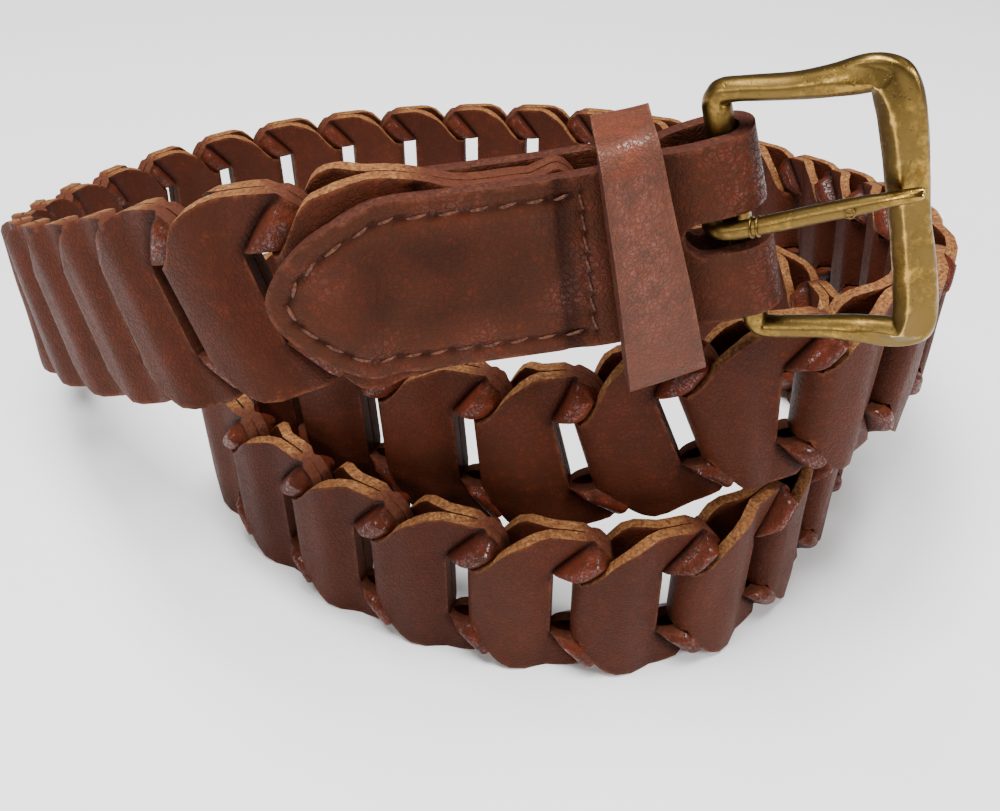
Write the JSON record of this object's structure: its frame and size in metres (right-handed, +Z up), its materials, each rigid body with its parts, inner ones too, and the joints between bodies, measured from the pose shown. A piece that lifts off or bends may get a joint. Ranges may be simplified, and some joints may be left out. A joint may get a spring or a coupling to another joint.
{
  "type": "braided leather belt",
  "caption": "Belt of interlocked folded leather links, coiled on its edge, with a stitched strap end, a leather keeper and a brass heel-bar buckle.",
  "frame": {"origin": "on the floor, under the middle of the coil's outer size", "axes": "+Z up across the belt's width, +X to the right as the buckle points, -Y towards the viewer of the picture"},
  "size_m": [0.1938, 0.1834, 0.1123],
  "materials": {
    "brass": "antique, rubbed bright on the edges and tarnished in the hollows",
    "strap_leather": "waxed pull-up leather, reddish brown, with scuffs",
    "link_leather": "waxed dark brown leather with raw tan edges"
  },
  "bodies": {
    "belt": {"buckle_strap": "strap_leather", "end_link": "link_leather", "keeper": "link_leather", "link_01": "link_leather", "link_02": "link_leather", "link_03": "link_leather", "link_04": "link_leather", "link_05": "link_leather", "link_06": "link_leather", "link_07": "link_leather", "link_08": "link_leather", "link_09": "link_leather", "link_10": "link_leather", "link_11": "link_leather", "link_12": "link_leather", "link_13": "link_leather", "link_14": "link_leather", "link_15": "link_leather", "link_16": "link_leather", "link_17": "link_leather", "link_18": "link_leather", "link_19": "link_leather", "link_20": "link_leather", "link_21": "link_leather", "link_22": "link_leather", "link_23": "link_leather", "link_24": "link_leather", "link_25": "link_leather", "link_26": "link_leather", "link_27": "link_leather", "link_28": "link_leather", "link_29": "link_leather", "link_30": "link_leather", "link_31": "link_leather", "link_32": "link_leather", "link_33": "link_leather", "link_34": "link_leather", "link_35": "link_leather", "link_36": "link_leather", "link_37": "link_leather", "link_38": "link_leather", "link_39": "link_leather", "link_40": "link_leather", "link_41": "link_leather", "link_42": "link_leather", "link_43": "link_leather", "link_44": "link_leather", "link_45": "link_leather", "link_46": "link_leather", "link_47": "link_leather", "link_48": "link_leather", "link_49": "link_leather", "link_50": "link_leather", "link_51": "link_leather", "link_52": "link_leather", "link_53": "link_leather", "link_54": "link_leather", "link_55": "link_leather"},
    "frame": {"buckle_frame": "brass"},
    "tongue": {"buckle_tongue": "brass"}
  },
  "joints": [
    {"name": "frame_swing", "type": "hinge", "parent": "belt", "child": "frame", "pos_m": [0.04212, -0.07721, 0.0863], "axis": [-0.2837, 0.005, 0.9589], "range_deg": [-40, 40]},
    {"name": "tongue_swing", "type": "hinge", "parent": "frame", "child": "tongue", "pos_m": [0.04212, -0.07721, 0.0863], "axis": [0.2837, -0.005, -0.9589], "range_deg": [0, 45]}
  ]
}
